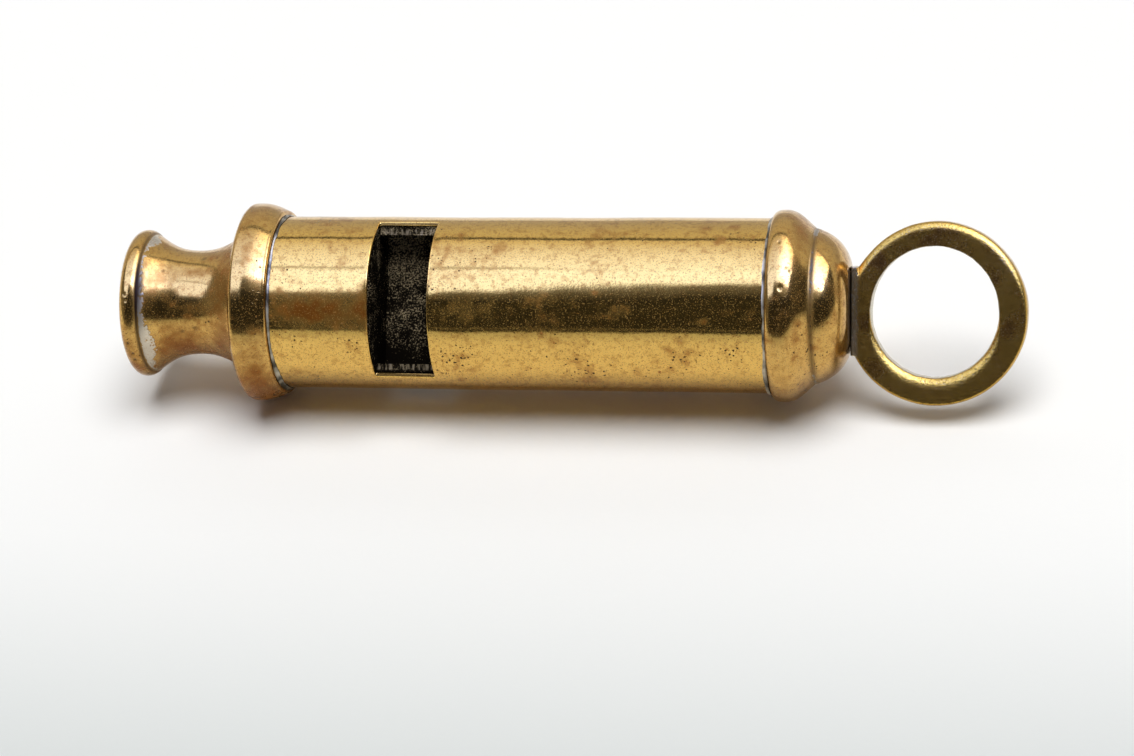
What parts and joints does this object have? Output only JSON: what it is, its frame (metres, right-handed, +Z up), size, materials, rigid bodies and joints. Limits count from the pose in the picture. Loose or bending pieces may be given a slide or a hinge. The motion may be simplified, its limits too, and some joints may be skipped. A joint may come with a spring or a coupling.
{
  "type": "tube whistle",
  "caption": "Brass tube whistle without a pea: waisted mouthpiece with a wide collar, barrel with milled windows over a divided chamber, domed cap and a fixed hanging ring.",
  "frame": {"origin": "middle of the underside of the whole whistle's box, on the surface that it lies on", "axes": "+X along the whistle's axis from the mouthpiece to the hanging ring, +Z up, and the front window looks out to -Y and up"},
  "size_m": [0.0828, 0.0184, 0.0183],
  "materials": {
    "worn_brass": "polished brass, worn and spotted, with traces of nickel plate in the creases",
    "dark_brass": "unpolished brass, dark with tarnish",
    "ring_brass": "cast brass, toned brown with bright edges",
    "soft_solder": "dull grey tin solder and nickel plate"
  },
  "bodies": {
    "root": {"mouthpiece": "worn_brass", "collar_seam": "soft_solder", "barrel": "worn_brass", "wind_plug": "dark_brass", "divider": "dark_brass", "high_stop": "dark_brass", "low_stop": "dark_brass", "cap_seam": "soft_solder", "cap": "worn_brass", "ring": "ring_brass", "ring_washer": "dark_brass"}
  },
  "joints": []
}
